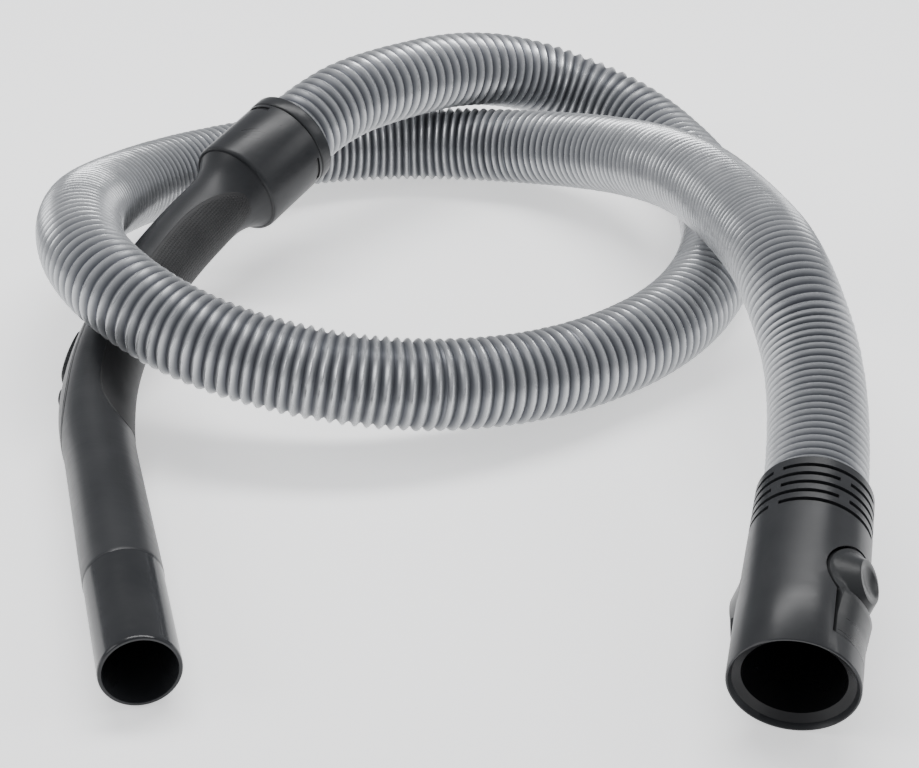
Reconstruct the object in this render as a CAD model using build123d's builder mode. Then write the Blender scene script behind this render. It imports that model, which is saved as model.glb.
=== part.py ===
"""Vacuum cleaner hose assembly: a ribbed suction hose laid in an interlocked loop, a bent wand handle
that swivels on one end and a machine connector with two latch levers that swivels on the other.

Millimetres, +Z up, floor at Z = 0, origin under the middle of the handle and the connector."""

from build123d import *
import os
from math import pi, radians, tan

os.makedirs("parts", exist_ok=True)

# ---------------------------------------------------------------- driving dimensions
HOSE_OD = 42.0
HOSE_WALL = 1.5

# Handle, measured along its centre line from the mouth
TIP_R = 16.0
TIP_LENGTH = 58.0
SHOULDER_R = 16.3
CORE_R = 15.7  # the tube under the grip shells
DUCT_R = 13.9
MOUTH_DUCT_R = 14.2
SHELL_R = 17.0
STRAIGHT_LENGTH = 160.0
BEND_R = 226.0
BEND_ANGLE = 52.0
HANDLE_MOUTH = Vector(-107.0, -195.5, SHELL_R)
HANDLE_YAW = 14.4  # the tip points this far right of straight ahead
HANDLE_ROLL = 20.0  # the plane of the bend is tipped up by this much

# Socket end of the handle, measured from the end of the bend
NECK_R = 19.3
FLARE_R = 23.6
NECK_FLARE_END = 12.0
NECK_END = 24.0
SOCKET_R = 25.75
SOCKET_BORE_R = 23.65
SOCKET_END = 52.5
RING_R = 26.0
RING_START = 53.0
RING_END = 61.0
RING_SEAT = 5.0  # depth of the hose in the ring
SPIGOT_R = 23.4
SPIGOT_START = 27.0
WINDOW_MIDDLE = 49.5
WINDOW_ANGLES = [86.0, 206.0, 326.0]

# Machine connector, measured from its mouth towards the hose
SPOUT_R = 24.6
SPOUT_LENGTH = 28.0
COLLAR_R = 23.5
COLLAR_END = 98.0
SHELL_BORE_R = 22.6
COLLAR_BORE_R = 21.9
COLLAR_START = 66.0
COLLAR_SEAT = 10.0  # depth of the hose in the machine cuff
LINER_R = 20.6
LINER_BORE_R = 19.4
LINER_END = 60.0
CONNECTOR_YAW = 12.5
CONNECTOR_PITCH = 10.5
CONNECTOR_MOUTH = Vector(131.3, -212.5, 24.2)
SLOT_ROWS = 5
SLOT_PITCH = 4.9
FIRST_SLOT = 73.6
SLOT_WIDTH = 1.9
SLOT_ARC = 109.0
ODD_ROW_BRIDGE = -130.0
EVEN_ROW_BRIDGE = -62.0
SLOTS_PER_ROW = 3

# Latch levers
UPPER_LATCH_ANGLE = -31.0
LATCH_ANGLES = (UPPER_LATCH_ANGLE, UPPER_LATCH_ANGLE + 180.0)
DISC_MIDDLE = 41.5
DISC_R = 16.5
TONGUE_HALF = 12.6
FOOT = 9.5
LATCH_GAP = 1.2
FOOT_GAP = 0.12
BUTTON_MIDDLE = 43.0
BUTTON_TOP_R = 27.4
BUTTON_LENGTH = 19.0
BUTTON_WIDTH = 15.0
PAD_LENGTH = 33.0
PAD_WIDTH = 30.0
PAD_BASE_R = 19.0

# ---------------------------------------------------------------- frames
up = Vector(0, 0, 1)
along = Vector(0, 1, 0).rotate(Axis.Z, HANDLE_YAW)  # from the mouth towards the bend
across = Vector(1, 0, 0).rotate(Axis.Z, HANDLE_YAW)
inward = across.rotate(Axis((0, 0, 0), along), -HANDLE_ROLL)  # towards the inside of the bend
bend_normal = along.cross(inward)
bend_start = HANDLE_MOUTH + along * STRAIGHT_LENGTH
bend_axis = Axis(bend_start + inward * BEND_R, bend_normal)


def bend_section(angle):
    """Cross-section plane of the bend: +X is the outside of the bend, +Y its upper side."""
    tangent = along.rotate(Axis((0, 0, 0), bend_normal), angle)
    outward = (inward * -1).rotate(Axis((0, 0, 0), bend_normal), angle)
    origin = bend_axis.position + outward * BEND_R
    return Plane(origin=origin, x_dir=outward, z_dir=tangent)


def bend_degrees(length):
    """Angle along the bend for a length along the handle's centre line."""
    return (length - STRAIGHT_LENGTH) / radians(BEND_R)


tip_frame = Plane(origin=HANDLE_MOUTH, x_dir=inward * -1, z_dir=along)
neck_frame = bend_section(BEND_ANGLE)
GRIP_START = 166.0
BEND_LENGTH = radians(BEND_ANGLE) * BEND_R

spout_back = Vector(0, 1, 0).rotate(Axis.X, CONNECTOR_PITCH).rotate(Axis.Z, -CONNECTOR_YAW)
spout_side = spout_back.cross(up).normalized()
spout_frame = Plane(origin=CONNECTOR_MOUTH, x_dir=spout_side, z_dir=spout_back)


def radial(frame, angle):
    """Unit vector square to a frame's axis, at an angle from its X direction."""
    return frame.x_dir.rotate(Axis((0, 0, 0), frame.z_dir), angle)


def meridian(frame, angle=0.0):
    """Half-plane through a frame's axis: X is the radius and Y the distance along the axis."""
    out = radial(frame, angle)
    return Plane(origin=frame.origin, x_dir=out, z_dir=out.cross(frame.z_dir))


def axis_of(frame):
    return Axis(frame.origin, frame.z_dir)


def turned(frame, outline, angle=0.0, arc=360.0, mode=Mode.ADD):
    """Revolves an outline of (radius, distance) points about a frame's axis."""
    with BuildSketch(meridian(frame, angle)) as profile:
        with BuildLine():
            Polyline(*outline, close=True)
        make_face()
    revolve(profile.sketch, axis=axis_of(frame), revolution_arc=arc, mode=mode)


def bent_sector(start, end, r_in, r_out, middle, half, mode=Mode.ADD):
    """Part of a ring section carried round the bend between two lengths along the handle."""
    plane = bend_section(bend_degrees(start))
    with BuildSketch(plane) as profile:
        with BuildLine():
            outer = CenterArc((0, 0), r_out, middle - half, 2 * half)
            inner = CenterArc((0, 0), r_in, middle - half, 2 * half)
            Line(outer @ 0, inner @ 0)
            Line(outer @ 1, inner @ 1)
        make_face()
    sweep_angle = bend_degrees(end) - bend_degrees(start)
    revolve(profile.sketch, axis=bend_axis, revolution_arc=sweep_angle, mode=mode)


def bent_ring(start, end, r_in, r_out):
    """A whole ring section carried round the bend between two lengths along the handle."""
    with BuildSketch(bend_section(bend_degrees(start))) as profile:
        Circle(r_out)
        Circle(r_in, mode=Mode.SUBTRACT)
    sweep_angle = bend_degrees(end) - bend_degrees(start)
    revolve(profile.sketch, axis=bend_axis, revolution_arc=sweep_angle)


def save(part, name):
    part.label = name
    export_step(part, f"parts/{name}.step")
    print(f"{name}: {part.volume:.0f} mm3")


# ---------------------------------------------------------------- handle
PORTS = [215.0, 220.0, 225.0]
PORT_R = 1.6

with BuildPart() as handle_tube:
    turned(
        tip_frame,
        [
            (MOUTH_DUCT_R + 0.6, 0),
            (TIP_R - 0.8, 0),
            (TIP_R, 0.8),
            (TIP_R, TIP_LENGTH),
            (SHOULDER_R, TIP_LENGTH + 1.5),
            (CORE_R, STRAIGHT_LENGTH),
            (DUCT_R, STRAIGHT_LENGTH),
            (MOUTH_DUCT_R, 0.8),
        ],
    )
    with BuildSketch(bend_section(0)) as bend_ring:
        Circle(CORE_R)
        Circle(DUCT_R, mode=Mode.SUBTRACT)
    revolve(bend_ring.sketch, axis=bend_axis, revolution_arc=BEND_ANGLE)
    turned(
        neck_frame,
        [
            (DUCT_R, 0),
            (SHELL_R, 0),
            (SHELL_R + 0.6, 3),
            (SHELL_R + 2.0, 6.5),
            (SHELL_R + 4.6, 10),
            (FLARE_R, NECK_FLARE_END),
            (NECK_R, NECK_FLARE_END),
            (NECK_R, NECK_END),
            (NECK_R - 2.2, NECK_END),
            (DUCT_R, 6),
        ],
    )
    for length in PORTS:
        section = bend_section(bend_degrees(length))
        port_plane = Plane(origin=section.origin, x_dir=section.z_dir, z_dir=section.x_dir)
        with BuildSketch(port_plane) as port:
            Circle(PORT_R)
        extrude(port.sketch, amount=SHELL_R, mode=Mode.SUBTRACT)
save(handle_tube.part, "handle_tube")

FIT = 0.05  # gap between pieces of one body
PANEL_START = 167.0
PANEL_END = 363.0
COVER_HALF = 66.0
SOFT_HALF = 62.0
WINDOW_START = 211.0
WINDOW_END = 245.0
WINDOW_HALF = 9.0
grip_end = STRAIGHT_LENGTH + BEND_LENGTH - 0.1

with BuildPart() as grip_shell:
    bent_ring(GRIP_START, PANEL_START, CORE_R + FIT, SHELL_R)
    bent_ring(PANEL_END, grip_end, CORE_R + FIT, SHELL_R)
    side_half = (180 - COVER_HALF - SOFT_HALF) / 2
    for side_middle in (COVER_HALF + side_half, -COVER_HALF - side_half):
        bent_sector(GRIP_START, grip_end, CORE_R + FIT, SHELL_R, side_middle, side_half)
save(grip_shell.part, "grip_shell")

with BuildPart() as grip_cover:
    bent_sector(
        PANEL_START + FIT, PANEL_END - FIT, CORE_R + FIT, SHELL_R, 0, COVER_HALF - 0.2
    )
    bent_sector(WINDOW_START, WINDOW_END, CORE_R - 1, SHELL_R + 1, 0, WINDOW_HALF, Mode.SUBTRACT)
save(grip_cover.part, "grip_cover")

with BuildPart() as soft_grip:
    bent_sector(
        PANEL_START + FIT, PANEL_END - FIT, CORE_R + FIT, SHELL_R, 180, SOFT_HALF - 0.2
    )
save(soft_grip.part, "soft_grip")

# Guide that frames the air opening and stops the slider at its lower end
GUIDE_R = SHELL_R + 0.05
with BuildPart() as slider_guide:
    bent_sector(203, 211, GUIDE_R, SHELL_R + 2.0, 0, 14)
    for side in (1, -1):
        bent_sector(211, 244, GUIDE_R, SHELL_R + 0.3, side * 12, 2)
save(slider_guide.part, "slider_guide")

SLIDER_R = SHELL_R + 0.4
with BuildPart() as suction_slider:
    bent_sector(219, 252, SLIDER_R, SHELL_R + 3.6, 0, 22)
    bent_sector(228, 236.5, CORE_R + 0.3, SLIDER_R + 0.5, 0, WINDOW_HALF - 1)
    bent_sector(241, 247, SLIDER_R - 0.5, SLIDER_R + 1.2, 0, 7, Mode.SUBTRACT)
save(suction_slider.part, "suction_slider")

with BuildPart() as slider_spring:
    bent_sector(241.3, 246.7, SLIDER_R + 0.1, SLIDER_R + 0.4, 0, 6)
    bent_sector(241.3, 242.3, SLIDER_R + 0.1, SLIDER_R + 1.15, 0, 6)
save(slider_spring.part, "slider_spring")

with BuildPart() as swivel_socket:
    turned(
        neck_frame,
        [
            (NECK_R + FIT, NECK_FLARE_END + FIT),
            (SOCKET_R - 1.4, NECK_FLARE_END + FIT),
            (SOCKET_R - 0.4, NECK_FLARE_END + 0.7),
            (SOCKET_R, NECK_FLARE_END + 2.2),
            (SOCKET_R, SOCKET_END),
            (SOCKET_BORE_R, SOCKET_END),
            (SOCKET_BORE_R, NECK_END + 1),
            (NECK_R + FIT, NECK_END),
        ],
    )
    for angle in WINDOW_ANGLES:
        turned(
            neck_frame,
            [
                (SOCKET_BORE_R - 1, WINDOW_MIDDLE - 1.2),
                (SOCKET_R + 1, WINDOW_MIDDLE - 1.2),
                (SOCKET_R + 1, WINDOW_MIDDLE + 1.2),
                (SOCKET_BORE_R - 1, WINDOW_MIDDLE + 1.2),
            ],
            angle - 16,
            32,
            Mode.SUBTRACT,
        )
save(swivel_socket.part, "swivel_socket")

CLIP_R = SOCKET_BORE_R - 0.05
with BuildPart() as socket_clip:
    turned(
        neck_frame,
        [
            (CLIP_R - 0.95, WINDOW_MIDDLE - 0.9),
            (CLIP_R, WINDOW_MIDDLE - 0.9),
            (CLIP_R, WINDOW_MIDDLE + 0.9),
            (CLIP_R - 0.95, WINDOW_MIDDLE + 0.9),
        ],
        20,
        350,
    )
    for angle in WINDOW_ANGLES:
        turned(
            neck_frame,
            [
                (CLIP_R - 0.3, WINDOW_MIDDLE - 0.9),
                (SOCKET_R - 0.7, WINDOW_MIDDLE - 0.9),
                (SOCKET_R - 0.7, WINDOW_MIDDLE + 0.9),
                (CLIP_R - 0.3, WINDOW_MIDDLE + 0.9),
            ],
            angle - 15,
            30,
        )
save(socket_clip.part, "socket_clip")

# ---------------------------------------------------------------- hose cuff on the handle side
HOSE_R = HOSE_OD / 2
HOSE_BORE_R = HOSE_R - HOSE_WALL
CLIP_GROOVE_R = CLIP_R - 1.15
SEAL_GROOVE_R = SPIGOT_R - 1.2

with BuildPart() as handle_cuff:
    turned(
        neck_frame,
        [
            (HOSE_BORE_R, SPIGOT_START),
            (SPIGOT_R, SPIGOT_START),
            (SPIGOT_R, 30.0),
            (SEAL_GROOVE_R, 30.0),
            (SEAL_GROOVE_R, 32.4),
            (SPIGOT_R, 32.4),
            (SPIGOT_R, WINDOW_MIDDLE - 1.3),
            (CLIP_GROOVE_R, WINDOW_MIDDLE - 1.3),
            (CLIP_GROOVE_R, WINDOW_MIDDLE + 1.3),
            (SPIGOT_R, WINDOW_MIDDLE + 1.3),
            (SPIGOT_R, RING_START),
            (RING_R - 0.6, RING_START),
            (RING_R, RING_START + 0.6),
            (RING_R, RING_END - 1.2),
            (RING_R - 1.2, RING_END),
            (HOSE_R, RING_END),
            (HOSE_R, RING_END - RING_SEAT),
            (HOSE_BORE_R, RING_END - RING_SEAT),
        ],
    )
save(handle_cuff.part, "handle_cuff")

with BuildPart() as handle_seal:
    turned(
        neck_frame,
        [
            (SEAL_GROOVE_R + FIT, 30.2),
            (SOCKET_BORE_R - 0.1, 30.6),
            (SOCKET_BORE_R - 0.1, 31.8),
            (SEAL_GROOVE_R + FIT, 32.2),
        ],
    )
save(handle_seal.part, "handle_seal")

# ---------------------------------------------------------------- machine connector
spout_draft = (SPOUT_R - COLLAR_R) / (COLLAR_END - SPOUT_LENGTH)


def spout_radius(distance):
    """Outer radius of the connector at a distance from its mouth."""
    return SPOUT_R - max(distance - SPOUT_LENGTH, 0.0) * spout_draft


def latch_plane(angle, distance):
    """Plane square to the radius at an angle: X runs along the connector, away from the mouth."""
    origin = spout_frame.origin + spout_frame.z_dir * distance
    return Plane(origin=origin, x_dir=spout_frame.z_dir, z_dir=radial(spout_frame, angle))


def keyhole(angle, gap, foot_gap):
    """Outline of a latch lever: a round end on a straight tongue, drawn inside its opening."""
    with BuildSketch(latch_plane(angle, DISC_MIDDLE)) as outline:
        Circle(DISC_R - gap)
        foot = DISC_MIDDLE - FOOT - foot_gap
        with Locations((-foot / 2, 0)):
            Rectangle(foot, 2 * (TONGUE_HALF - gap))
    return outline.sketch


with BuildPart() as connector_body:
    turned(
        spout_frame,
        [
            (SPOUT_R - 0.9, 0),
            (SPOUT_R - 0.3, 0),
            (SPOUT_R, 0.5),
            (SPOUT_R, SPOUT_LENGTH),
            (COLLAR_R, COLLAR_END),
            (COLLAR_BORE_R, COLLAR_END),
            (COLLAR_BORE_R, COLLAR_START),
            (SHELL_BORE_R, COLLAR_START),
            (SHELL_BORE_R, 2.0),
        ],
    )
    for row in range(SLOT_ROWS):
        distance = FIRST_SLOT + row * SLOT_PITCH
        bridge = EVEN_ROW_BRIDGE if row % 2 else ODD_ROW_BRIDGE
        pitch = 360.0 / SLOTS_PER_ROW
        for slot in range(SLOTS_PER_ROW):
            turned(
                spout_frame,
                [
                    (COLLAR_BORE_R - 1, distance - SLOT_WIDTH / 2),
                    (SPOUT_R, distance - SLOT_WIDTH / 2),
                    (SPOUT_R, distance + SLOT_WIDTH / 2),
                    (COLLAR_BORE_R - 1, distance + SLOT_WIDTH / 2),
                ],
                bridge + (pitch - SLOT_ARC) / 2 + slot * pitch,
                SLOT_ARC,
                Mode.SUBTRACT,
            )
    for angle in LATCH_ANGLES:
        extrude(keyhole(angle, 0.0, 0.0), amount=30, mode=Mode.SUBTRACT)
save(connector_body.part, "connector_body")

with BuildPart() as connector_liner:
    turned(
        spout_frame,
        [
            (LINER_BORE_R, 4.2),
            (SHELL_BORE_R - FIT, 2.1),
            (SHELL_BORE_R - FIT, 5.0),
            (LINER_R, 7.0),
            (LINER_R, LINER_END),
            (LINER_BORE_R, LINER_END),
        ],
    )
save(connector_liner.part, "connector_liner")

RAMP_START = 18.5
RAMP_END = 31.0
RAMP_RISE = 1.6
button_plane = latch_plane(UPPER_LATCH_ANGLE, BUTTON_MIDDLE)
LEVER_REACH = 60.0  # degrees on each side, before the keyhole outline trims it
with BuildPart() as latch:
    with BuildSketch(button_plane.offset(PAD_BASE_R)) as pad_base:
        Ellipse(PAD_LENGTH / 2, PAD_WIDTH / 2)
    with BuildSketch(button_plane.offset(BUTTON_TOP_R)) as button_top:
        Ellipse(BUTTON_LENGTH / 2, BUTTON_WIDTH / 2)
    loft([pad_base.sketch, button_top.sketch])
    turned(
        spout_frame,
        [
            (SHELL_BORE_R + 0.1, 0),
            (SPOUT_R, 0),
            (SPOUT_R, RAMP_START),
            (SPOUT_R + RAMP_RISE, RAMP_END),
            (spout_radius(RAMP_END), RAMP_END),
            (spout_radius(60), 60),
            (SHELL_BORE_R + 0.1, 60),
        ],
        UPPER_LATCH_ANGLE - LEVER_REACH,
        2 * LEVER_REACH,
    )
    turned(
        spout_frame,
        [(SHELL_BORE_R + 0.1, 0), (30, 0), (30, 60), (SHELL_BORE_R + 0.1, 60)],
        UPPER_LATCH_ANGLE - LEVER_REACH,
        2 * LEVER_REACH,
        Mode.INTERSECT,
    )
    extrude(keyhole(UPPER_LATCH_ANGLE, LATCH_GAP, FOOT_GAP), amount=30, mode=Mode.INTERSECT)
    dish = button_plane.offset(BUTTON_TOP_R + 13.5).origin
    with Locations(Location(dish)):
        Sphere(15.0, mode=Mode.SUBTRACT)

SPRING_TIP_R = 21.5  # where the blade lies with its lever pressed
with BuildPart() as latch_spring:
    with BuildSketch(latch_plane(UPPER_LATCH_ANGLE, 0).offset(LINER_R + 0.05)) as foot:
        with Locations((22.0, 0)):
            Rectangle(8.0, 6.0)
    extrude(foot.sketch, amount=0.3)
    with BuildSketch(meridian(spout_frame, UPPER_LATCH_ANGLE)) as blade:
        with BuildLine():
            Polyline(
                (LINER_R + 0.05, 24.0),
                (LINER_R + 0.05, 26.0),
                (SPRING_TIP_R - 0.3, 40.0),
                (SPRING_TIP_R, 40.0),
                (LINER_R + 0.35, 25.0),
                (LINER_R + 0.35, 24.0),
                close=True,
            )
        make_face()
    extrude(blade.sketch, amount=3.0, both=True)

# The lower lever and its spring are the upper ones turned half round the connector.
half_turn = (axis_of(spout_frame), 180.0)
save(latch.part, "latch_upper")
save(latch.part.rotate(*half_turn), "latch_lower")
save(latch_spring.part, "latch_spring_upper")
save(latch_spring.part.rotate(*half_turn), "latch_spring_lower")

CUFF_R = COLLAR_BORE_R - 0.1
CUFF_START = 61.0
with BuildPart() as machine_cuff:
    turned(
        spout_frame,
        [
            (HOSE_BORE_R, CUFF_START),
            (SHELL_BORE_R - 0.15, CUFF_START),
            (SHELL_BORE_R - 0.15, COLLAR_START - 0.3),
            (CUFF_R, COLLAR_START - 0.3),
            (CUFF_R, COLLAR_END - 0.3),
            (HOSE_R, COLLAR_END - 0.3),
            (HOSE_R, COLLAR_END - COLLAR_SEAT),
            (HOSE_BORE_R, COLLAR_END - COLLAR_SEAT),
        ],
    )
    turned(
        spout_frame,
        [
            (CUFF_R - 1.6, 62.4),
            (SHELL_BORE_R, 62.4),
            (SHELL_BORE_R, 64.4),
            (CUFF_R - 1.6, 64.4),
        ],
        mode=Mode.SUBTRACT,
    )
save(machine_cuff.part, "machine_cuff")

with BuildPart() as machine_seal:
    turned(
        spout_frame,
        [
            (CUFF_R - 1.55, 62.6),
            (SHELL_BORE_R - 0.1, 62.9),
            (SHELL_BORE_R - 0.1, 63.9),
            (CUFF_R - 1.55, 64.2),
        ],
    )
save(machine_seal.part, "machine_seal")

# ---------------------------------------------------------------- hose
# Its route, end to end, from the seat in the handle cuff to the seat in the machine cuff.
ring_face = neck_frame.origin + neck_frame.z_dir * RING_END
collar_face = spout_frame.origin + spout_frame.z_dir * COLLAR_END
LEAD_OUT = 29.0
LEAD_IN = 60.0
route = [
    ring_face - neck_frame.z_dir * RING_SEAT,
    ring_face + neck_frame.z_dir * LEAD_OUT,
    (-29, 257, 71),
    (18, 304, 64),
    (65, 331, 45),
    (111, 316, 30),
    (140, 269, 21),
    (152, 205, 22),
    (146, 132, 21),
    (113, 62, 21),
    (51, 9, 24),
    (-25, -18, 35),
    (-103, -5, 48),
    (-158, 34, 65),
    (-178, 102, 61),
    (-173, 169, 43),
    (-141, 230, 31),
    (-78, 278, 24),
    (-11, 291, 21),
    (51, 274, 26),
    (101, 225, 42),
    (130, 157, 61),
    (146, 81, 73),
    (155, 4, 83),
    collar_face + spout_frame.z_dir * LEAD_IN,
    collar_face - spout_frame.z_dir * COLLAR_SEAT,
]
route = [Vector(point) for point in route]
turn_radii = []
for before, corner, after in zip(route, route[1:], route[2:]):
    turn = radians((corner - before).get_angle(after - corner))
    run = min((corner - before).length, (after - corner).length)
    turn_radii.append(0.45 * run / tan(turn / 2))
print("hose turn radii:", [round(radius) for radius in turn_radii])

with BuildPart() as hose:
    with BuildLine() as centre_line:
        hose_path = FilletPolyline(*route, radius=turn_radii)
    with BuildSketch(Plane(origin=route[0], z_dir=neck_frame.z_dir)) as hose_ring:
        Circle(HOSE_R)
        Circle(HOSE_BORE_R, mode=Mode.SUBTRACT)
    sweep(hose_ring.sketch, path=hose_path)
hose_length = hose_path.length
ring_area = pi * (HOSE_R**2 - HOSE_BORE_R**2)
print(f"hose length {hose_length:.1f} mm, volume over section times length:", end=" ")
print(f"{hose.part.volume / (ring_area * hose_length):.4f}")
save(hose.part, "hose")
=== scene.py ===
"""Looks of the vacuum cleaner hose assembly. Metres, in the frame of the CAD model.

Names that end in _MM are lengths in millimetres, the unit the real pieces are drawn in."""

import bisect
import math
import random

import bmesh
import bpy
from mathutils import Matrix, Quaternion, Vector


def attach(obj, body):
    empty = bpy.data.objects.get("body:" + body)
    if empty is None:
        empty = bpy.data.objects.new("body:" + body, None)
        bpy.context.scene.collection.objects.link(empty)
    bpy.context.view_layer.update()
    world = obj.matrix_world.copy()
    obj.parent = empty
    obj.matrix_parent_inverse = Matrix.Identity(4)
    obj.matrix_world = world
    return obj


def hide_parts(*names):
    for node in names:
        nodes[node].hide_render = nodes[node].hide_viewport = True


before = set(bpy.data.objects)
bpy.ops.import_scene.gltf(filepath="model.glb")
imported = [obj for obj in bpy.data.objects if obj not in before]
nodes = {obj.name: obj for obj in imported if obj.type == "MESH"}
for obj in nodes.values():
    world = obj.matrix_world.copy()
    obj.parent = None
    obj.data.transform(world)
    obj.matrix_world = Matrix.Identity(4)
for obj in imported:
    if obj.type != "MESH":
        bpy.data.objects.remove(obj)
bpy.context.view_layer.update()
MM = 0.001


def mm(*values):
    """A point or direction given in millimetres, in metres."""
    return Vector(values) * MM


def linked(name, data):
    """A new object of the data, in the scene."""
    made = bpy.data.objects.new(name, data)
    bpy.context.scene.collection.objects.link(made)
    return made


def made_mesh(name, points, faces):
    """A mesh of points and faces."""
    mesh = bpy.data.meshes.new(name)
    mesh.from_pydata(points, [], faces)
    return mesh


# ---------------------------------------------------------------- camera and light
CAMERA_AT = (0.0110, -0.7681, 0.4721)
CAMERA_BELOW_LEVEL = 30.1  # degrees
CAMERA_LENS = 76.66
LIGHTS_AIM = Vector((0, 0.1, 0))

camera_data = bpy.data.cameras.new("camera")
camera_data.lens = CAMERA_LENS
camera_data.sensor_width = 36.0
camera = linked("camera", camera_data)
camera.location = CAMERA_AT
camera.rotation_euler = (math.radians(90 - CAMERA_BELOW_LEVEL), 0, 0)
bpy.context.scene.camera = camera


def area_light(name, at, size, power):
    """A soft light with the given two sides in metres and power in watts."""
    data = bpy.data.lights.new(name, "AREA")
    data.shape = "RECTANGLE"
    data.size, data.size_y = size
    data.energy = power
    light = linked(name, data)
    light.location = at
    light.rotation_euler = (LIGHTS_AIM - Vector(at)).to_track_quat("-Z", "Y").to_euler()


area_light("top_light", at=(0.0, 0.55, 1.45), size=(1.7, 0.4), power=24.0)
area_light("left_light", at=(-1.5, -0.3, 0.9), size=(0.7, 0.7), power=7.0)
area_light("right_light", at=(1.4, 0.1, 0.9), size=(0.7, 0.7), power=5.0)

world = bpy.data.worlds.new("studio")
world.use_nodes = True
sky = world.node_tree.nodes["Background"]
sky.inputs["Color"].default_value = (0.93, 0.95, 1.0, 1)
sky.inputs["Strength"].default_value = 0.5
bpy.context.scene.world = world

# ---------------------------------------------------------------- materials
# Sockets of the colour mix node
MIX_FACTOR, MIX_FIRST, MIX_SECOND, MIX_RESULT = 0, 6, 7, 2


class Shader:
    """A material and short calls that add and link its nodes."""

    def __init__(self, name, roughness=0.4, metallic=0.0, specular=0.3):
        self.material = bpy.data.materials.new(name)
        self.material.use_nodes = True
        self.tree = self.material.node_tree
        self.surface = self.tree.nodes["Principled BSDF"]
        self.surface.inputs["Roughness"].default_value = roughness
        self.surface.inputs["Metallic"].default_value = metallic
        self.surface.inputs["Specular IOR Level"].default_value = specular

    def node(self, kind, **settings):
        made = self.tree.nodes.new(kind)
        for key, value in settings.items():
            setattr(made, key, value)
        return made

    def link(self, source, target):
        self.tree.links.new(source, target)

    def place(self):
        """The place on the object, in metres."""
        return self.node("ShaderNodeTexCoord").outputs["Object"]

    def attribute(self, name):
        """A value or vector that the mesh stores at each point."""
        return self.node("ShaderNodeAttribute", attribute_name=name)

    def noise(self, scale, detail=3.0, stretch=None):
        """A noise pattern. Scale is in patches per metre."""
        pattern = self.node("ShaderNodeTexNoise")
        pattern.inputs["Scale"].default_value = scale
        pattern.inputs["Detail"].default_value = detail
        source = self.place()
        if stretch:
            mapping = self.node("ShaderNodeMapping")
            mapping.inputs["Scale"].default_value = stretch
            self.link(source, mapping.inputs["Vector"])
            source = mapping.outputs["Vector"]
        self.link(source, pattern.inputs["Vector"])
        return pattern.outputs["Fac"]

    def spread(self, value, low, high, from_low=0.3, from_high=0.7):
        """Maps a pattern onto a range of values."""
        mapped = self.node("ShaderNodeMapRange")
        mapped.inputs["From Min"].default_value = from_low
        mapped.inputs["From Max"].default_value = from_high
        mapped.inputs["To Min"].default_value = low
        mapped.inputs["To Max"].default_value = high
        self.link(value, mapped.inputs["Value"])
        return mapped.outputs["Result"]

    def between(self, factor, first, second):
        """A colour that runs from the first to the second as the factor goes from 0 to 1."""
        mix = self.node("ShaderNodeMix", data_type="RGBA")
        for socket, colour in ((MIX_FIRST, first), (MIX_SECOND, second)):
            if isinstance(colour, tuple):
                mix.inputs[socket].default_value = (*colour, 1)
            else:
                self.link(colour, mix.inputs[socket])
        self.link(factor, mix.inputs[MIX_FACTOR])
        return mix.outputs[MIX_RESULT]

    def cloudy(self, scale, dark, light, detail=3.0):
        """Two colours in soft patches. Scale is in patches per metre."""
        return self.between(self.spread(self.noise(scale, detail), 0, 1), dark, light)

    def math(self, operation, first, second):
        made = self.node("ShaderNodeMath", operation=operation)
        for socket, value in zip(made.inputs, (first, second)):
            if isinstance(value, (int, float)):
                socket.default_value = value
            else:
                self.link(value, socket)
        return made.outputs[0]

    def colour(self, value):
        self.link(value, self.surface.inputs["Base Color"])

    def roughness(self, value):
        self.link(value, self.surface.inputs["Roughness"])

    def bump(self, height, depth_mm):
        """Relief of a given depth. A second call lies on top of the first."""
        relief = self.node("ShaderNodeBump")
        relief.inputs["Distance"].default_value = depth_mm * MM
        relief.inputs["Strength"].default_value = 1.0
        self.link(height, relief.inputs["Height"])
        below = self.surface.inputs["Normal"]
        if below.is_linked:
            self.link(below.links[0].from_socket, relief.inputs["Normal"])
        self.link(relief.outputs["Normal"], below)


# Painted shade: near-black colour laid along the seams of the grip panels, where shade falls in
# the crease
SEAM_SHADE_COLOUR = (0.002, 0.002, 0.002)
BLACK = ((0.018, 0.019, 0.021), (0.027, 0.028, 0.030))
INNER_BLACK = ((0.006, 0.006, 0.007), (0.010, 0.010, 0.011))
LEVER_BLACK = ((0.016, 0.017, 0.018), (0.024, 0.025, 0.026))
GRAIN_MM = 0.02


def moulded_plastic(name, tints, rough):
    """Moulded plastic: fine eroded grain, faint flow marks and rubbed patches."""
    shader = Shader(name)
    # Painted shade: the colour turns near-black along the panel seams, where shade falls in the
    # crease
    seam_shade = shader.attribute("seam_shade").outputs["Fac"]
    shader.colour(shader.between(seam_shade, shader.cloudy(45, *tints), SEAM_SHADE_COLOUR))
    rubbed = shader.spread(shader.noise(18, detail=6), rough - 0.05, rough + 0.06)
    scuffs = shader.spread(shader.noise(60, detail=8, stretch=(1, 9, 3)), -0.03, 0.03)
    shader.roughness(shader.math("ADD", rubbed, scuffs))
    shader.bump(shader.noise(1900, detail=2), GRAIN_MM)
    return shader


black_plastic = moulded_plastic("black_plastic", BLACK, rough=0.34)
inner_plastic = moulded_plastic("inner_plastic", INNER_BLACK, rough=0.3)
lever_plastic = moulded_plastic("lever_plastic", LEVER_BLACK, rough=0.3)

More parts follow.
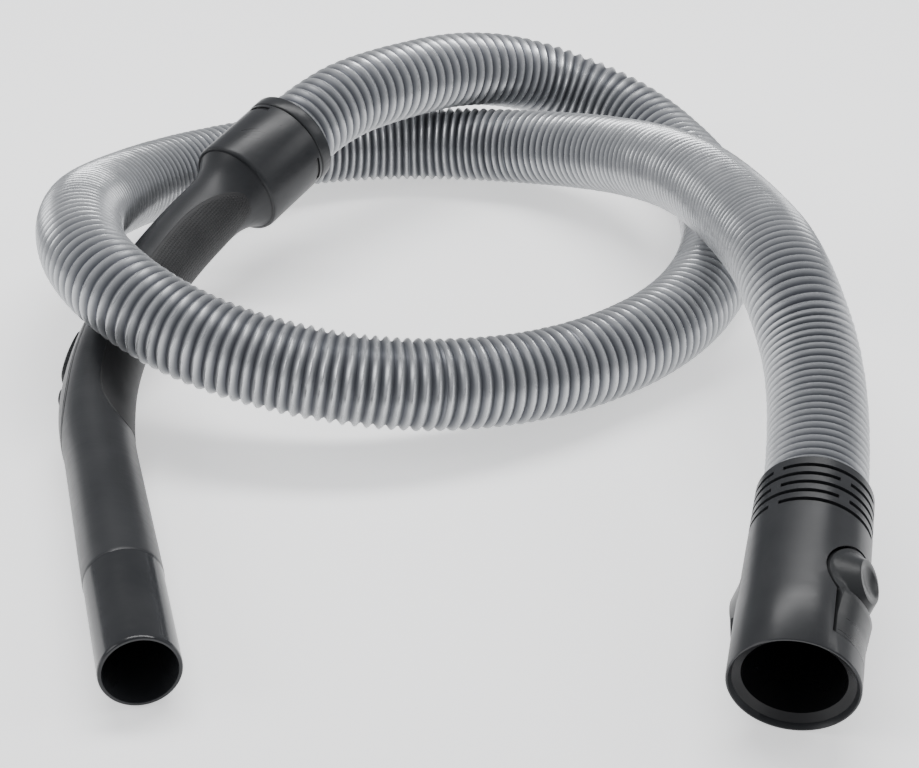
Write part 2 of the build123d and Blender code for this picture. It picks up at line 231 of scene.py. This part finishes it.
# The tube of the handle is polished where it fits the wand.
MOUTH = mm(-107.0, -195.5, 17.0)
ALONG = Vector((-0.24869, 0.96858, 0.0))  # along the straight part of the handle
TIP_MM = 58.0
TIP_FADE_MM = 0.4
TIP_POLISH = 0.22
tube_plastic = moulded_plastic("tube_plastic", BLACK, rough=0.38)
dot = tube_plastic.node("ShaderNodeVectorMath", operation="DOT_PRODUCT")
dot.inputs[1].default_value = ALONG
tube_plastic.link(tube_plastic.place(), dot.inputs[0])
tip_edge = MOUTH.dot(ALONG) + TIP_MM * MM
polished = tube_plastic.spread(
    dot.outputs["Value"], TIP_POLISH, 0.0, tip_edge, tip_edge + TIP_FADE_MM * MM
)
grain = tube_plastic.surface.inputs["Roughness"].links[0].from_socket
tube_plastic.roughness(tube_plastic.math("SUBTRACT", grain, polished))

# Soft rubbery plastic with rows of fine raised dots where the palm lies
DOTS_PER_MM = 0.62
DOT_EDGE = (0.22, 0.42)  # distances from a dot's middle where it starts to fall and where it ends
DOT_RISE_MM = 0.28
soft_grip = Shader("soft_grip", specular=0.4)
# Painted shade along the soft grip's seams, over its own dark colour
soft_grip.colour(
    soft_grip.between(
        soft_grip.attribute("seam_shade").outputs["Fac"],
        soft_grip.cloudy(60, (0.013, 0.013, 0.014), (0.020, 0.020, 0.021)),
        SEAM_SHADE_COLOUR,
    )
)
soft_grip.roughness(soft_grip.spread(soft_grip.noise(25, detail=5), 0.52, 0.68))
soft_grip.bump(soft_grip.noise(2500, detail=2), GRAIN_MM)
dots = soft_grip.node("ShaderNodeTexVoronoi")
dots.inputs["Scale"].default_value = DOTS_PER_MM
dots.inputs["Randomness"].default_value = 0.0
soft_grip.link(soft_grip.attribute("surface_mm").outputs["Vector"], dots.inputs["Vector"])
dot_height = soft_grip.spread(dots.outputs["Distance"], 1.0, 0.0, *DOT_EDGE)
dotted = soft_grip.math("MULTIPLY", dot_height, soft_grip.attribute("dotted").outputs["Fac"])
soft_grip.bump(dotted, DOT_RISE_MM)

seal_rubber = Shader("seal_rubber", roughness=0.7, specular=0.35)
seal_rubber.colour(seal_rubber.cloudy(90, (0.012, 0.012, 0.012), (0.02, 0.02, 0.02)))
seal_rubber.bump(seal_rubber.noise(2200, detail=2), GRAIN_MM)

spring_steel = Shader("spring_steel", metallic=1.0)
spring_steel.colour(spring_steel.cloudy(120, (0.42, 0.42, 0.43), (0.56, 0.56, 0.56)))
drawn = spring_steel.noise(400, detail=4, stretch=(1, 12, 1))
spring_steel.roughness(spring_steel.spread(drawn, 0.24, 0.4))
spring_steel.bump(spring_steel.noise(800, detail=3, stretch=(1, 14, 1)), 0.01)

# Pearl-grey hose: light crests, painted shade darkening the grooves, faint cloudiness on both
GROOVE_ROUGHNESS = 0.25
GROOVE_SHADE_POWER = 0.75
hose_plastic = Shader("hose", metallic=0.62, specular=0.5)
groove = hose_plastic.attribute("groove").outputs["Fac"]
crest = hose_plastic.cloudy(30, (0.53, 0.54, 0.55), (0.63, 0.64, 0.65), detail=4)
# Painted shade: the colour darkens towards the bottom of each groove, where shade falls between
# the ribs
shade = hose_plastic.math("POWER", groove, GROOVE_SHADE_POWER)
hose_plastic.colour(hose_plastic.between(shade, crest, (0.075, 0.080, 0.095)))
hose_plastic.roughness(
    hose_plastic.math(
        "ADD",
        hose_plastic.spread(hose_plastic.noise(120, detail=5), 0.20, 0.30),
        hose_plastic.math("MULTIPLY", groove, GROOVE_ROUGHNESS),
    )
)
hose_plastic.bump(hose_plastic.noise(1400, detail=3), GRAIN_MM)

floor_paint = Shader("floor_paint", roughness=0.75, specular=0.2)
floor_paint.colour(floor_paint.cloudy(3, (0.92, 0.92, 0.92), (0.95, 0.95, 0.95)))
floor_paint.surface.inputs["Emission Color"].default_value = (1, 1, 1, 1)
floor_paint.surface.inputs["Emission Strength"].default_value = 0.8

# ---------------------------------------------------------------- floor
FAR = 6  # metres from the middle to each edge of the floor
floor_corners = [(-FAR, -FAR, 0), (FAR, -FAR, 0), (FAR, FAR, 0), (-FAR, FAR, 0)]
floor_mesh = made_mesh("floor", floor_corners, [(0, 1, 2, 3)])
floor_mesh.materials.append(floor_paint.material)
floor = linked("floor", floor_mesh)

# ---------------------------------------------------------------- helpers for meshes
SHARP_ANGLE = math.radians(32)
WELD_MM = 0.002


def finished(name, mesh, shader, body, slot, *replaced, bevel_mm=0.0, harden=True):
    """Makes a piece of a mesh: material, shading, the body it rides on and what it stands for."""
    piece = linked(name, mesh)
    mesh.materials.clear()
    mesh.materials.append(shader.material)
    mesh.polygons.foreach_set("use_smooth", [True] * len(mesh.polygons))
    mesh.set_sharp_from_angle(angle=SHARP_ANGLE)
    if bevel_mm:
        edge = piece.modifiers.new("edge", "BEVEL")
        edge.width = bevel_mm * MM
        edge.segments = 2
        edge.limit_method = "ANGLE"
        edge.angle_limit = SHARP_ANGLE
        edge.harden_normals = harden
    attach(piece, body)
    if replaced:
        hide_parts(*replaced)
    return piece


def tube_faces(rings, count, closed=False):
    """Quads between rings of count points each. A closed run joins the last ring to the first."""
    faces = []
    last = rings if closed else rings - 1
    for ring in range(last):
        here = ring * count
        there = ((ring + 1) % rings) * count
        for i in range(count):
            j = (i + 1) % count
            faces.append((here + i, here + j, there + j, there + i))
    return faces

def capped_faces(rings, count):
    """The faces of a solid bar made of rings: its sides and both ends."""
    last = (rings - 1) * count
    return tube_faces(rings, count) + [tuple(range(count)), tuple(range(last, last + count))]


def rounded_copy(node, shader, body, bevel_mm, harden=True):
    """The shape of a CAD node with its sharp edges rounded, as a moulding has them."""
    mesh = nodes[node].data.copy()
    shape = bmesh.new()
    shape.from_mesh(mesh)
    bmesh.ops.remove_doubles(shape, verts=shape.verts, dist=WELD_MM * MM)
    shape.to_mesh(mesh)
    shape.free()
    slot = "black_plastic"
    name = node + "_moulded"
    return finished(name, mesh, shader, body, slot, node, bevel_mm=bevel_mm, harden=harden)


# ---------------------------------------------------------------- hose
# The route of the hose's centre line, the same points as the CAD model's, in metres
ROUTE = [
    (-0.08043, 0.19598, 0.06181),
    (-0.06125, 0.22251, 0.07097),
    (-0.029, 0.257, 0.071),
    (0.018, 0.304, 0.064),
    (0.065, 0.331, 0.045),
    (0.111, 0.316, 0.030),
    (0.140, 0.269, 0.021),
    (0.152, 0.205, 0.022),
    (0.146, 0.132, 0.021),
    (0.113, 0.062, 0.021),
    (0.051, 0.009, 0.024),
    (-0.025, -0.018, 0.035),
    (-0.103, -0.005, 0.048),
    (-0.158, 0.034, 0.065),
    (-0.178, 0.102, 0.061),
    (-0.173, 0.169, 0.043),
    (-0.141, 0.230, 0.031),
    (-0.078, 0.278, 0.024),
    (-0.011, 0.291, 0.021),
    (0.051, 0.274, 0.026),
    (0.101, 0.225, 0.042),
    (0.130, 0.157, 0.061),
    (0.146, 0.081, 0.073),
    (0.155, 0.004, 0.083),
    (0.16493, -0.06084, 0.05299),
    (0.15003, -0.12803, 0.04024),
]
HOSE_DIAMETER = 0.042
RIB_DEPTH_MM = 2.4
BORE_BELOW_RIBS_MM = 0.6
BORE_STEP_MM = 12.0
# Share of the way along the hose, and the pitch of the ribs there in millimetres
RIB_PITCH = [
    (0.0, 5.6),
    (0.05, 6.4),
    (0.2, 6.5),
    (0.3, 5.3),
    (0.48, 5.2),
    (0.55, 4.3),
    (0.59, 4.3),
    (0.64, 5.0),
    (0.75, 5.0),
    (0.82, 4.9),
    (0.89, 4.1),
    (1.0, 4.0),
]
HOSE_SEGMENTS = 45
# One rib: share of the pitch, and depth below the crest as a share of the rib depth
RIB_OUTLINE = [(0.0, 1.0), (0.19, 0.74), (0.35, 0.22), (0.5, 0.0), (0.65, 0.22), (0.81, 0.74)]
# How much one rib differs from the next
PITCH_SHARES = (0.96, 1.04)
DEPTH_SHARES = (0.92, 1.0)
CREST_LOSSES_MM = (0.0, 0.12)


def spline_points(route):
    """Points along the smooth NURBS line that a route's points control."""
    curve = bpy.data.curves.new("hose_line_guide", "CURVE")
    curve.dimensions = "3D"
    spline = curve.splines.new("NURBS")
    spline.points.add(len(route) - 1)
    for point, at in zip(spline.points, route):
        point.co = (*at, 1)
    spline.order_u = 3
    spline.use_endpoint_u = True
    spline.resolution_u = 32
    guide = linked("hose_line_guide", curve)
    bpy.context.view_layer.update()
    line = bpy.data.meshes.new_from_object(guide)
    points = [vertex.co.copy() for vertex in line.vertices]
    bpy.data.objects.remove(guide)
    bpy.data.curves.remove(curve)
    bpy.data.meshes.remove(line)
    return points


class Line:
    """A polyline with frames that don't twist along it."""

    def __init__(self, points):
        self.points = points
        self.at = [0.0]
        for a, b in zip(points, points[1:]):
            self.at.append(self.at[-1] + (b - a).length)
        self.length = self.at[-1]
        self.tangents = []
        for i in range(len(points)):
            a = points[max(i - 1, 0)]
            b = points[min(i + 1, len(points) - 1)]
            self.tangents.append((b - a).normalized())
        side = self.tangents[0].orthogonal().normalized()
        self.sides = [side]
        for before, now in zip(self.tangents, self.tangents[1:]):
            side = before.rotation_difference(now) @ side
            side = (side - now * side.dot(now)).normalized()
            self.sides.append(side)

    def frame(self, distance):
        """The point at a distance along the line, and two directions square to the line there."""
        distance = min(max(distance, 0.0), self.length)
        low = min(bisect.bisect_right(self.at, distance), len(self.at) - 1) - 1
        high = low + 1
        t = (distance - self.at[low]) / max(self.at[high] - self.at[low], 1e-9)
        tangent = self.tangents[low].lerp(self.tangents[high], t).normalized()
        side = self.sides[low].lerp(self.sides[high], t)
        side = (side - tangent * side.dot(tangent)).normalized()
        return self.points[low].lerp(self.points[high], t), side, tangent.cross(side)


def interpolated(table, x):
    """Smoothly eased value of a table of (x, value) rows."""
    for (x0, y0), (x1, y1) in zip(table, table[1:]):
        if x <= x1:
            t = max((x - x0) / (x1 - x0), 0.0)
            return y0 + (y1 - y0) * t * t * (3 - 2 * t)
    return table[-1][1]


hose_line = Line(spline_points(ROUTE))
chance = random.Random(7)
vertices, groove_depth = [], []


def add_ring(distance, radius, groove_share):
    """Adds a ring of the hose, and how deep in a groove it lies."""
    centre, side, other = hose_line.frame(distance)
    for i in range(HOSE_SEGMENTS):
        angle = math.tau * i / HOSE_SEGMENTS
        vertices.append(centre + (side * math.cos(angle) + other * math.sin(angle)) * radius)
        groove_depth.append(groove_share)


reached = 0.0
while reached < hose_line.length:
    pitch = interpolated(RIB_PITCH, reached / hose_line.length) * MM
    pitch *= chance.uniform(*PITCH_SHARES)
    depth = RIB_DEPTH_MM * chance.uniform(*DEPTH_SHARES)
    crest_r = HOSE_DIAMETER / 2 - chance.uniform(*CREST_LOSSES_MM) * MM
    for share, below in RIB_OUTLINE:
        add_ring(reached + share * pitch, crest_r - below * depth * MM, below)
    reached += pitch
# The bore, so that the hose is hollow, joined to the outside at both ends
bore_r = HOSE_DIAMETER / 2 - (RIB_DEPTH_MM + BORE_BELOW_RIBS_MM) * MM
steps = int(hose_line.length / (BORE_STEP_MM * MM))
for step in range(steps + 1):
    add_ring(hose_line.length * (1 - step / steps), bore_r, 1.0)
hose_faces = tube_faces(len(vertices) // HOSE_SEGMENTS, HOSE_SEGMENTS, closed=True)
hose_mesh = made_mesh("hose_ribbed", vertices, hose_faces)
attribute = hose_mesh.attributes.new("groove", "FLOAT", "POINT")
attribute.data.foreach_set("value", groove_depth)
hose_piece = finished("hose_ribbed", hose_mesh, hose_plastic, "hose_line", "hose", "hose")

# ---------------------------------------------------------------- handle
INWARD = Vector((0.91017, 0.23369, 0.34202))  # towards the inside of the bend
BEND_NORMAL = ALONG.cross(INWARD)
STRAIGHT_MM = 160.0
BEND_R_MM = 226.0
BEND_MM = math.radians(52.0) * BEND_R_MM


def handle_frame(t):
    """Centre, direction of the outside of the bend and upper side, at t mm from the mouth."""
    bent = min(max(t - STRAIGHT_MM, 0.0), BEND_MM) / BEND_R_MM
    turn = Quaternion(BEND_NORMAL, bent)
    outward = turn @ -INWARD
    tangent = turn @ ALONG
    if t <= STRAIGHT_MM:
        return MOUTH + ALONG * t * MM, outward, tangent.cross(outward)
    bend_centre = MOUTH + ALONG * STRAIGHT_MM * MM + INWARD * BEND_R_MM * MM
    beyond = max(t - STRAIGHT_MM - BEND_MM, 0.0)
    centre = bend_centre + outward * BEND_R_MM * MM + tangent * beyond * MM
    return centre, outward, tangent.cross(outward)


def on_handle(t, phi, radius):
    """The point at t mm from the mouth and radius mm from the centre line.

    phi is in degrees round from the outside of the bend."""
    centre, outward, upper = handle_frame(t)
    angle = math.radians(phi)
    return centre + (outward * math.cos(angle) + upper * math.sin(angle)) * radius * MM


def nose(t, start, end, start_run, end_run, half):
    """Half-angle of a leaf-shaped panel with elliptical ends."""
    if t < start + start_run:
        share = (start + start_run - t) / start_run
    elif t > end - end_run:
        share = (t - end + end_run) / end_run
    else:
        share = 0.0
    return half * math.sqrt(max(1 - share * share, 0.0))


def eased_steps(start, end, count):
    """Distances that lie closer together near both ends."""
    shares = [(1 - math.cos(math.pi * i / count)) / 2 for i in range(count + 1)]
    return [start + (end - start) * share for share in shares]


NECK_MM = STRAIGHT_MM + BEND_MM
# The moulded lip of the mouth and the shoulder behind the polished tip: distance and radius
LIP = [(0.0, 15.3), (0.25, 15.7), (0.8, 15.95), (1.6, 16.0)]
SHOULDER = [
    (TIP_MM - 0.3, 16.0),
    (TIP_MM + 0.2, 16.08),
    (TIP_MM + 0.9, 16.27),
    (TIP_MM + 1.8, 16.3),
]
WAIST_MM, WAIST_R_MM = 148.0, 15.8
GRIP_FULL_MM, GRIP_R_MM = 194.0, 17.0
FLARE_START_MM, FLARE_END_MM, FLARE_R_MM = NECK_MM - 14.0, NECK_MM + 12.0, 23.7
# The inside, from the neck's recess for the socket to the mouth
DUCT_R_MM = 13.9
NECK_INSIDE = [
    (FLARE_END_MM, 19.3),
    (NECK_MM + 24.0, 19.3),
    (NECK_MM + 24.0, 17.1),
    (NECK_MM + 6.0, DUCT_R_MM),
]
MOUTH_INSIDE = [(0.8, 14.2), (0.2, 14.4), (0.0, 14.8)]
DUCT_START_MM = 10.0
TUBE_STEP_MM, GRIP_STEP_MM, FLARE_STEP_MM = 6.0, 2.5, 1.0
HANDLE_SEGMENTS = 96


def outside(t):
    """Radius of the handle's outside at a distance from its mouth."""
    if t < WAIST_MM:
        rows = LIP + SHOULDER + [(WAIST_MM, WAIST_R_MM)]
        for (t0, r0), (t1, r1) in zip(rows, rows[1:]):
            if t <= t1:
                return r0 + (r1 - r0) * (t - t0) / (t1 - t0)
    if t < FLARE_START_MM:
        share = min((t - WAIST_MM) / (GRIP_FULL_MM - WAIST_MM), 1.0)
        return WAIST_R_MM + (GRIP_R_MM - WAIST_R_MM) * share * share * (3 - 2 * share)
    share = min((t - FLARE_START_MM) / (FLARE_END_MM - FLARE_START_MM), 1.0)
    return GRIP_R_MM + (FLARE_R_MM - GRIP_R_MM) * share**3


def steps_along(first, last, step):
    """Even steps of about the given length, without the last."""
    count = max(int((last - first) / step), 1)
    return [first + (last - first) * i / count for i in range(count)]


def recalculated(mesh):
    """Turns all faces of a closed mesh outwards."""
    shape = bmesh.new()
    shape.from_mesh(mesh)
    bmesh.ops.recalc_face_normals(shape, faces=shape.faces)
    shape.to_mesh(mesh)
    shape.free()
    return mesh


def handle_lathe(name, outline, segments):
    """A closed outline of (distance, radius) turned about the handle's centre line."""
    points = [
        on_handle(t, 360 * i / segments, radius) for t, radius in outline for i in range(segments)
    ]
    faces = tube_faces(len(outline), segments, closed=True)
    return recalculated(made_mesh(name, points, faces))


def without(name, mesh, cutter):
    """A mesh with the shape of another taken out of it."""
    piece = linked(name, mesh)
    helper = linked(name + "_cutter", cutter)
    cut = piece.modifiers.new("cut", "BOOLEAN")
    cut.operation = "DIFFERENCE"
    cut.solver = "EXACT"
    cut.object = helper
    bpy.context.view_layer.update()
    evaluated = piece.evaluated_get(bpy.context.evaluated_depsgraph_get())
    result = bpy.data.meshes.new_from_object(evaluated)
    bpy.data.objects.remove(piece)
    bpy.data.objects.remove(helper)
    result.name = name
    return result


BLOCK_ROWS, BLOCK_COLUMNS = 8, 12


def handle_block(name, span, half, low, high):
    """A block wrapped on the outside of the bend, used as a cutter."""
    start, end = span
    points = []
    columns = [half * (2 * i / BLOCK_COLUMNS - 1) for i in range(BLOCK_COLUMNS + 1)]
    rows = [start + (end - start) * i / BLOCK_ROWS for i in range(BLOCK_ROWS + 1)]
    for t in rows:
        points += [on_handle(t, phi, high) for phi in columns]
        points += [on_handle(t, phi, low) for phi in reversed(columns)]
    return recalculated(made_mesh(name, points, capped_faces(len(rows), 2 * len(columns))))


# The window that the suction slider covers, through the cover and the tube below it
WINDOW_MM, WINDOW_HALF = (211.0, 230.0), 9.0
WINDOW_LOW_R_MM, WINDOW_HIGH_R_MM = 12.0, 19.0
window = handle_block("window", WINDOW_MM, WINDOW_HALF, WINDOW_LOW_R_MM, WINDOW_HIGH_R_MM)

distances = [t for t, _ in LIP + SHOULDER]
distances += steps_along(TIP_MM + 3.0, WAIST_MM, TUBE_STEP_MM)
distances += steps_along(WAIST_MM, FLARE_START_MM, GRIP_STEP_MM)
distances += steps_along(FLARE_START_MM, FLARE_END_MM, FLARE_STEP_MM) + [FLARE_END_MM]
handle_outline = [(t, outside(t)) for t in distances] + NECK_INSIDE
duct_steps = steps_along(DUCT_START_MM, NECK_MM, TUBE_STEP_MM)
handle_outline += [(t, DUCT_R_MM) for t in reversed(duct_steps)] + MOUTH_INSIDE
handle_mesh = handle_lathe("handle_moulded", handle_outline, HANDLE_SEGMENTS)
finished(
    "handle_moulded",
    without("handle_moulded", handle_mesh, window),
    tube_plastic,
    "handle",
    "black_plastic",
    "handle_tube",
    "grip_shell",
)

# Rows of points that round a panel's edge: the distance in from the edge, then the share of the
# edge's depth and how dark the painted seam shade is there, for an edge with a second line inside
# it and without
EDGE_MM = [0.0, 0.15, 0.35, 0.7, 1.3, 1.55, 1.8, 2.05, 2.8]
EDGE_DROP = [1.0, 0.55, 0.22, 0.0, 0.0, 0.55, 0.55, 0.0, 0.0]
PLAIN_DROP = [1.0, 0.55, 0.22, 0.0, 0.0, 0.0, 0.0, 0.0, 0.0]
# Painted shade in the crease at the panel's edge and in the groove just inside it
EDGE_SEAM_SHADE = [1.0, 1.0, 1.0, 0.35, 0.0, 0.9, 0.9, 0.0, 0.0]
PLAIN_SEAM_SHADE = [1.0, 1.0, 1.0, 0.35, 0.0, 0.0, 0.0, 0.0, 0.0]
COLUMNS = 18
PROUD_MM = 0.15
EDGE_DEPTH_MM = 0.5
END_ROUND_MM = 0.7
SPARE_WIDTH_MM = 0.6
NO_SEAM_SHADE = [0.0] * len(EDGE_MM)


def grip_panel(
    name,
    low,
    high,
    base,
    span,
    count,
    drops=PLAIN_DROP,
    seam_shades=PLAIN_SEAM_SHADE,
    depth=EDGE_DEPTH_MM,
    thickness=1.0,
    dotted=None,
):
    """A moulded panel on the handle, with rounded edges.

    It lies between the angles low(t) and high(t) at t mm, and its top is at radius base(t, phi).
    dotted(t, phi) says where the fine dots lie. Thickness is from the handle's outside inwards."""
    points, coordinates, marks, dark = [], [], [], []
    start, end = span
    for t in eased_steps(start, end, count):
        first, last = low(t), high(t)
        radius = outside(t)
        width = math.radians(last - first) * radius
        scale = min(1.0, width / 2 / (EDGE_MM[-1] + SPARE_WIDTH_MM))
        inset = [edge * scale for edge in EDGE_MM]
        inner = [inset[-1] + (width - 2 * inset[-1]) * i / COLUMNS for i in range(1, COLUMNS)]
        across = inset + inner + [width - edge for edge in reversed(inset)]
        fall = drops + [0.0] * len(inner) + drops[::-1]
        seam_shade = seam_shades + [0.0] * len(inner) + seam_shades[::-1]
        end_fall = max(0.0, 1 - min(t - start, end - t) / END_ROUND_MM) ** 2
        row = []
        for place, drop in zip(across, fall):
            phi = first + math.degrees(place / radius)
            row.append((phi, base(t, phi) - depth * max(drop, end_fall)))
        below = radius - thickness
        for phi, height in row + [(phi, below) for phi, _ in reversed(row)]:
            points.append(on_handle(t, phi, height))
            coordinates.append((t, math.radians(phi) * radius, 0.0))
            marks.append(dotted(t, phi) if dotted else 0.0)
        # Painted shade along the seams; the points below the surface take the darkest share
        dark += seam_shade + [max(seam_shades)] * len(seam_shade)
    size = len(row) * 2
    mesh = made_mesh(name, points, capped_faces(len(points) // size, size))
    surface = mesh.attributes.new("surface_mm", "FLOAT_VECTOR", "POINT")
    surface.data.foreach_set("vector", [value for point in coordinates for value in point])
    for label, values in (("dotted", marks), ("seam_shade", dark)):
        mark = mesh.attributes.new(label, "FLOAT", "POINT")
        mark.data.foreach_set("value", values)
    return recalculated(mesh)


LEAST_HALF = 2.0  # degrees, at the tips of the leaf-shaped panels
# Start, end and the runs of the rounded ends in millimetres, and the half-angle in degrees
COVER_LEAF = (159.0, 2 * NECK_MM, 43.0, 1.0, 66.0)
SOFT_LEAF = (162.0, 369.0, 33.0, 42.0, 62.0)
COVER_SPAN_MM = (159.4, NECK_MM - 2.0)
SOFT_SPAN_MM = (162.4, 368.0)
DOTS_START_MM, DOTS_FADE_MM = 274, 4
DOTS_CLEAR, DOTS_CLEAR_FADE = 6, 3  # degrees from the soft grip's edge


def cover_half(t):
    """Half-angle of the hard cover on the outside of the bend."""
    return max(nose(t, *COVER_LEAF), LEAST_HALF)


def soft_half(t):
    """Half-angle of the soft grip on the inside of the bend."""
    return max(nose(t, *SOFT_LEAF), LEAST_HALF)


def proud(t, phi):
    """Radius of a panel that stands a little above the handle."""
    return outside(t) + PROUD_MM


def share_of(value):
    """The value, held between 0 and 1."""
    return min(max(value, 0.0), 1.0)


def palm_dots(t, phi):
    """Where the fine dots lie: the half of the soft grip nearer the neck, clear of its edge."""
    clear = soft_half(t) - abs(phi - 180)
    along_share = share_of((t - DOTS_START_MM) / DOTS_FADE_MM)
    return along_share * share_of((clear - DOTS_CLEAR) / DOTS_CLEAR_FADE)


cover_mesh = grip_panel(
    "grip_cover_moulded",
    lambda t: -cover_half(t),
    cover_half,
    proud,
    COVER_SPAN_MM,
    count=110,
    drops=EDGE_DROP,
    seam_shades=EDGE_SEAM_SHADE,
)
finished(
    "grip_cover_moulded",
    without("grip_cover_moulded", cover_mesh, window),
    black_plastic,
    "handle",
    "black_plastic",
    "grip_cover",
)
soft_mesh = grip_panel(
    "soft_grip_moulded",
    lambda t: 180 - soft_half(t),
    lambda t: 180 + soft_half(t),
    proud,
    SOFT_SPAN_MM,
    count=160,
    dotted=palm_dots,
)
finished("soft_grip_moulded", soft_mesh, soft_grip, "handle", "soft_grip", "soft_grip")

# The slider is a low dome, and its guide ends in a smaller one that stops it. Angles in degrees
SLIDER_MM, SLIDER_HALF, SLIDER_RISE_MM = (219.0, 252.0), 26.0, 3.1
STOP_MM, STOP_HALF, STOP_RISE_MM = (202.5, 211.0), 20.0, 1.6
DOME_BASE_MM = 0.5
DOME_ALONG_POWER, DOME_ACROSS_POWER = 0.16, 0.12  # small powers give a flat top and steep sides


def domed_pad(name, span, half, rise, count, thickness, depth):
    """A pad on the outside of the bend that swells towards its middle."""

    def height(t, phi):
        place = share_of((t - span[0]) / (span[1] - span[0]))
        along_share = math.sin(math.pi * place) ** DOME_ALONG_POWER
        across_share = math.cos(math.pi / 2 * min(abs(phi) / half, 1.0)) ** DOME_ACROSS_POWER
        return outside(t) + DOME_BASE_MM + rise * along_share * across_share

    return grip_panel(
        name,
        lambda t: -half,
        lambda t: half,
        height,
        span,
        count,
        seam_shades=NO_SEAM_SHADE,
        thickness=thickness,
        depth=depth,
    )


slider_mesh = domed_pad(
    "suction_slider_moulded",
    SLIDER_MM,
    SLIDER_HALF,
    SLIDER_RISE_MM,
    count=40,
    thickness=-0.3,
    depth=0.15,
)
finished(
    "suction_slider_moulded",
    slider_mesh,
    lever_plastic,
    "slider",
    "black_plastic",
    "suction_slider",
)
stop_mesh = domed_pad(
    "slider_guide_moulded",
    STOP_MM,
    STOP_HALF,
    STOP_RISE_MM,
    count=24,
    thickness=0.3,
    depth=0.5,
)
finished(
    "slider_guide_moulded",
    stop_mesh,
    black_plastic,
    "handle",
    "black_plastic",
    "slider_guide",
)

# ---------------------------------------------------------------- pieces kept from the CAD model
rounded_copy("swivel_socket", black_plastic, "handle", bevel_mm=0.35)
rounded_copy("handle_cuff", black_plastic, "hose_line", bevel_mm=0.3)
rounded_copy("connector_body", black_plastic, "connector", bevel_mm=0.25)
rounded_copy("latch_upper", lever_plastic, "upper_lever", bevel_mm=0.4, harden=False)
rounded_copy("latch_lower", lever_plastic, "lower_lever", bevel_mm=0.4, harden=False)
for node, shader in (
    ("socket_clip", inner_plastic),
    ("connector_liner", inner_plastic),
    ("machine_cuff", inner_plastic),
    ("handle_seal", seal_rubber),
    ("machine_seal", seal_rubber),
    ("slider_spring", spring_steel),
    ("latch_spring_upper", spring_steel),
    ("latch_spring_lower", spring_steel),
):
    nodes[node].data.materials.clear()
    nodes[node].data.materials.append(shader.material)
